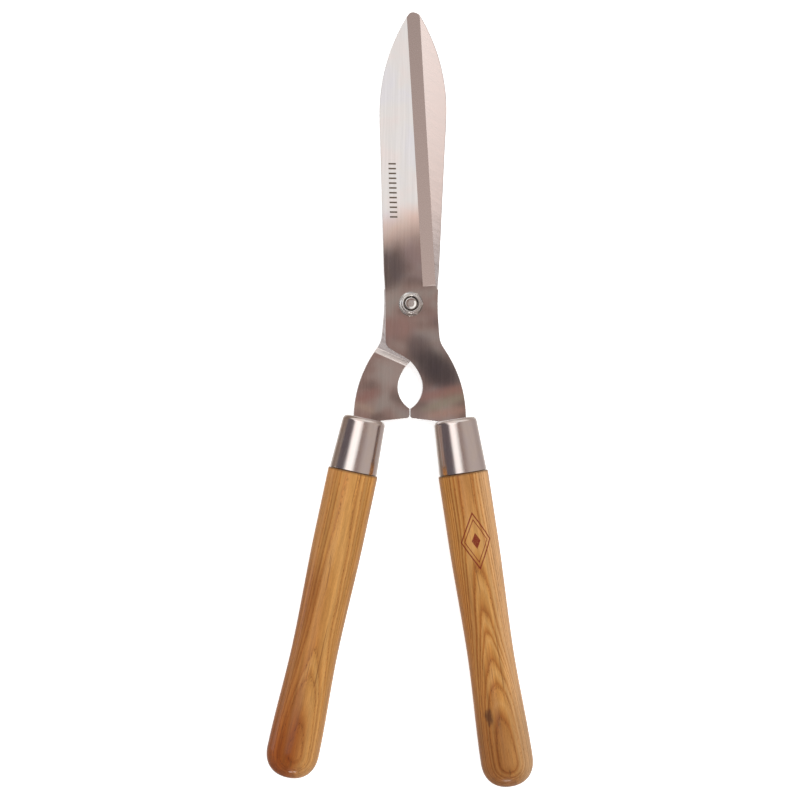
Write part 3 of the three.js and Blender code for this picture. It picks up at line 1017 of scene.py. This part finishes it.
def handle_mesh(end):
    clearance = FERRULE_WALL + GAP
    shoulder = FERRULE_LENGTH + GAP
    rounding = 1.0
    profile = [
        (0, -HANDLE_START),
        (ferrule_radius(HANDLE_START) - clearance, -HANDLE_START),
        (FERRULE_MOUTH_RADIUS - clearance, -shoulder),
    ]
    for i in range(7):
        angle = i / 6 * math.pi / 2
        profile.append((SHOULDER_RADIUS - rounding * (1 - math.sin(angle)),
                        -shoulder - rounding * (1 - math.cos(angle))))
    butt = end - DOME_LENGTH
    shaft_start = shoulder + rounding + 2
    shaft_steps = 60
    for i in range(shaft_steps + 1):
        along = shaft_start + (butt - shaft_start) * i / shaft_steps
        profile.append((handle_radius(along, end), -along))
    dome_steps = 28
    for i in range(1, dome_steps):
        along = butt + DOME_LENGTH * math.sin(i / dome_steps * math.pi / 2)
        profile.append((handle_radius(along, end), -along))
    profile.append((0, -end))
    top = -HANDLE_START + 1
    outline = [
        Vector((-TANG_HALF_WIDTH - GAP, top)),
        Vector((TANG_HALF_WIDTH + GAP, top)),
        Vector((TANG_TIP_HALF_WIDTH + GAP, -TANG_LENGTH - 2 * GAP)),
        Vector((-TANG_TIP_HALF_WIDTH - GAP, -TANG_LENGTH - 2 * GAP)),
    ]
    slot = prism(outline, -PLATE / 2 - GAP, PLATE / 2 + GAP)
    place(slot, Matrix.Rotation(math.pi / 2, 4, "X"))
    return combine(revolve(profile), slot, "DIFFERENCE")


def make_grip(side):
    name = SIDE_NAME[side]
    ferrule = ferrule_mesh(side)
    lay_down(ferrule, side)
    piece(name + "_ferrule", ferrule, BODY[side], "ferrule_steel", ferrule_steel(side))
    handle = handle_mesh(HANDLE_END[side])
    lay_down(handle, side)
    piece(name + "_handle", handle, BODY[side], "ash_wood", ash_wood(side))


# ---- Studio ----
# The shears lie on the shoulders of their handles and on the rear blade's tip.
SHOULDER_TOUCH = Vector((0, -105.0, -5.5))
TIP_TOUCH = Vector((0, 181.0, 5.3))
RESTING_TILT = math.atan2(TIP_TOUCH.z - SHOULDER_TOUCH.z, TIP_TOUCH.y - SHOULDER_TOUCH.y)
UP = Vector((0, -math.sin(RESTING_TILT), math.cos(RESTING_TILT)))
# The room that the steel mirrors leans back twice as far as the shears do.
ROOM_LEAN = 2 * RESTING_TILT
ROOM_UP = Vector((0, -math.sin(ROOM_LEAN), math.cos(ROOM_LEAN)))
ROOM_ALONG = Vector((0, math.cos(ROOM_LEAN), math.sin(ROOM_LEAN)))


def make_camera():
    """Square on to the blades, which lean a little to the right in the picture."""
    distance = 1.6
    view_width = 0.4976
    pivot_right = 0.00684            # where the pivot is from the middle of the picture
    pivot_up = 0.05965
    roll = math.radians(0.63)
    right = Vector((math.cos(roll), math.sin(roll), 0))
    up = Vector((-math.sin(roll), math.cos(roll), 0))
    back = Vector((0, 0, 1))
    pivot = Vector((0, 0, HANDLE_Z * MM))
    centre = pivot - right * pivot_right - up * pivot_up
    data = bpy.data.cameras.new("camera")
    data.sensor_width = 36
    data.lens = data.sensor_width * distance / view_width
    camera = bpy.data.objects.new("camera", data)
    turn = Matrix((right, up, back)).transposed()
    camera.matrix_world = Matrix.Translation(centre + back * distance) @ turn.to_4x4()
    scene.collection.objects.link(camera)
    scene.camera = camera


FLOOR_GLOW = 0.6


def make_floor():
    material, nodes = new_material("floor")
    here = nodes.place_mm()
    grain = nodes.noise(here, 0.02, 0.02, detail=2.0)
    colour = nodes.shade((0.93, 0.93, 0.93), nodes.ease(grain, 0.3, 0.7, 0.99, 1.0))
    finish_material(nodes, Base_Color=colour, Roughness=0.9, Specular_IOR_Level=0.1,
                    Emission_Color=(1, 1, 1, 1), Emission_Strength=FLOOR_GLOW)
    half_width = 8.0
    clear = 0.0002
    bm = bmesh.new()
    bmesh.ops.create_grid(bm, x_segments=8, y_segments=8, size=half_width)
    mesh = bpy.data.meshes.new("floor")
    bm.to_mesh(mesh)
    bm.free()
    mesh.materials.append(material)
    floor = bpy.data.objects.new("floor", mesh)
    floor.location = SHOULDER_TOUCH * MM - UP * clear
    floor.rotation_euler = (RESTING_TILT, 0, 0)
    floor.visible_glossy = False     # the gloss sees the studio below the horizon instead
    scene.collection.objects.link(floor)


# Things in the room as soft ovals, in degrees: how far to the right of straight above and how far
# towards the blades, half width, half height, turn to the left, and colour.
ROOM_SPOTS = (
    (0.35, 7.6, 0.45, 0.35, 0, (0.38, 0.27, 0.245)),
    (-0.42, 7.25, 0.7, 0.6, 0, (0.165, 0.125, 0.117)),
    (-0.15, 5.95, 0.6, 0.3, 0, (0.37, 0.23, 0.205)),
    (-0.15, 4.9, 0.5, 0.4, 0, (0.44, 0.37, 0.34)),
    (-0.85, 4.4, 0.5, 0.16, 20, (0.36, 0.19, 0.165)),
    (-0.9, 4.15, 0.4, 0.08, -25, (0.50, 0.38, 0.30)),
    (0.45, 5.45, 0.45, 0.35, -50, (0.19, 0.14, 0.13)),
    (0.84, 5.0, 0.78, 0.46, -35, (0.095, 0.074, 0.074)),
    (0.95, 4.50, 0.9, 0.13, 14, (0.40, 0.215, 0.18)),
    (1.0, 4.28, 0.8, 0.12, 19, (0.38, 0.33, 0.25)),
    (1.05, 4.05, 0.7, 0.12, 12, (0.50, 0.31, 0.25)),
)


def soft_spot(nodes, side_angle, end_angle, side, end, width, height, turn):
    """One in the middle of an oval in the reflected room, easing to nothing at its rim."""
    cosine = math.cos(math.radians(turn))
    sine = math.sin(math.radians(turn))
    right = nodes.total(side_angle, -side)
    up = nodes.total(end_angle, -end)
    long_way = nodes.total(nodes.times(right, cosine / width), nodes.times(up, sine / width))
    short_way = nodes.total(nodes.times(up, cosine / height), nodes.times(right, -sine / height))
    square = nodes.total(nodes.times(long_way, long_way), nodes.times(short_way, short_way))
    return nodes.ease(square, 0.2, 1.0, 1.0, 0.0)


def mottled_brown(nodes, side_angle, end_angle):
    """The part of the room that the blades mirror: uneven browns with the soft spots over them."""
    here = nodes.add("CombineXYZ", {0: side_angle, 1: end_angle, 2: 2.0})
    patches = nodes.noise(here, 1.5, 2.2, detail=2.0, distortion=0.4)
    room = nodes.colours(patches, [
        (0.40, (0.21, 0.15, 0.135, 1)),
        (0.49, (0.36, 0.24, 0.213, 1)),
        (0.58, (0.41, 0.35, 0.32, 1)),
    ])
    for *oval, colour in ROOM_SPOTS:
        spot = soft_spot(nodes, side_angle, end_angle, *oval)
        room = nodes.mix(spot, room, (*colour, 1))
    return room


def room_walls(nodes, room, side_angle, from_up, right, along):
    """Dark to the left, grey to the right, pale beyond the blades, dim low down, pale below."""
    low_right = nodes.ease(right, -0.2, 0.3)
    low_down = nodes.mix(low_right, (0.26, 0.20, 0.165, 1), (0.48, 0.41, 0.38, 1))
    walls = (
        (nodes.ease(side_angle, -12, -26), (0.14, 0.118, 0.13, 1)),
        (nodes.ease(side_angle, 8, 45), (0.56, 0.485, 0.445, 1)),
        (nodes.ease(along, 0.6, 0.74), (0.95, 0.91, 0.88, 1)),
        (nodes.ease(from_up, 92, 100), low_down),
        (nodes.ease(from_up, 132, 150), (0.7, 0.66, 0.62, 1)),
    )
    for share, colour in walls:
        room = nodes.mix(share, room, colour)
    return room


def hang_softbox(nodes, room, side_angle, end_angle, along):
    """One big softbox overhead, with its near edge a little askew and warm."""
    near_slant = nodes.ease(side_angle, -1.2, 1.2, -0.24, 0.37, smooth=False)
    nearer_on_left = nodes.ease(side_angle, -1.2, -2.8, 0.0, 10.0)
    edge = nodes.total(end_angle, nodes.times(near_slant, -1), nearer_on_left)
    askew = nodes.total(side_angle, nodes.times(end_angle, 0.45))
    frame_share = nodes.times(
        nodes.ease(askew, -42, -28),
        nodes.ease(side_angle, 2.5, 7.0, 1.0, 0.0),
        nodes.ease(along, 0.62, 0.68, 1.0, 0.0),
    )
    from_edge = nodes.ease(edge, 8.2, 8.65)
    cloth = nodes.mix(from_edge, (1.0, 0.79, 0.70, 1), (1.1, 1.09, 1.085, 1))
    cloth = nodes.shade(cloth, nodes.ease(side_angle, -3, -14, 1.0, 1.35))
    softbox = nodes.times(frame_share, nodes.ease(edge, 7.5, 8.4))
    return nodes.mix(softbox, room, cloth)


def make_world():
    """White behind the shears and pale grey as light, but gloss sees the room and its softbox."""
    world = bpy.data.worlds.new("studio")
    world.use_nodes = True
    scene.world = world
    nodes = Tree(world.node_tree)
    direction = nodes.add("TexCoord", {}, "Generated")
    rise = nodes.vector("DOT_PRODUCT", direction, ROOM_UP, "Value")
    right = nodes.vector("DOT_PRODUCT", direction, Vector((1, 0, 0)), "Value")
    along = nodes.vector("DOT_PRODUCT", direction, ROOM_ALONG, "Value")
    to_degrees = math.degrees(1)
    side_angle = nodes.times(nodes.math("ARCTAN2", right, rise), to_degrees)
    end_angle = nodes.times(nodes.math("ARCTAN2", along, rise), to_degrees)
    from_up = nodes.times(nodes.math("ARCCOSINE", rise), to_degrees)
    room = mottled_brown(nodes, side_angle, end_angle)
    room = room_walls(nodes, room, side_angle, from_up, right, along)
    room = hang_softbox(nodes, room, side_angle, end_angle, along)
    # a small bright lamp low beyond the handles
    lamp = nodes.times(
        nodes.band(end_angle, -84, -74, 2.0),
        nodes.band(right, -0.2, 0.2, 0.04),
        nodes.ease(rise, 0.0, 0.02),
    )
    room = nodes.mix(lamp, room, (9.0, 8.6, 8.2, 1))
    gloss = nodes.add("LightPath", {}, "Is Glossy Ray")
    light = nodes.mix(gloss, (0.74, 0.74, 0.74, 1), room)
    seen = nodes.add("LightPath", {}, "Is Camera Ray")
    light = nodes.mix(seen, light, (1, 1, 1, 1))
    background = nodes.add("Background", {"Color": light, "Strength": 1.0})
    nodes.add("OutputWorld", {"Surface": background})


def make_key_lamp():
    """A soft square lamp that lights the scene but isn't mirrored in the steel."""
    data = bpy.data.lights.new("key", "AREA")
    data.shape = "SQUARE"
    data.size = 0.9
    data.energy = 18
    lamp = bpy.data.objects.new("key", data)
    distance = 1.9
    towards = Vector((0.25, 0.4, 1.2)).normalized()
    middle = Vector((0, -0.06, 0))
    turn = towards.to_track_quat("Z", "Y").to_matrix().to_4x4()
    lamp.matrix_world = Matrix.Translation(middle + towards * distance) @ turn
    lamp.visible_glossy = False
    scene.collection.objects.link(lamp)


def make_studio():
    make_camera()
    make_floor()
    make_world()
    make_key_lamp()
    scene.view_settings.view_transform = "Standard"


make_blades()
make_bolt(zinc_plate("bolt_zinc", 0.1, 0.06, shade=0.8))
# painted shade: the washer's zinc is half as bright as plain zinc, darkened where it lies in shade
# round the nut
make_washer(zinc_plate("washer_zinc", 0.07, 0.03, shade=0.5))
make_nut(zinc_plate("nut_zinc", 0.24, 0.08, metal=0.9, shade=0.76))
make_grip(1)
make_grip(-1)
make_studio()
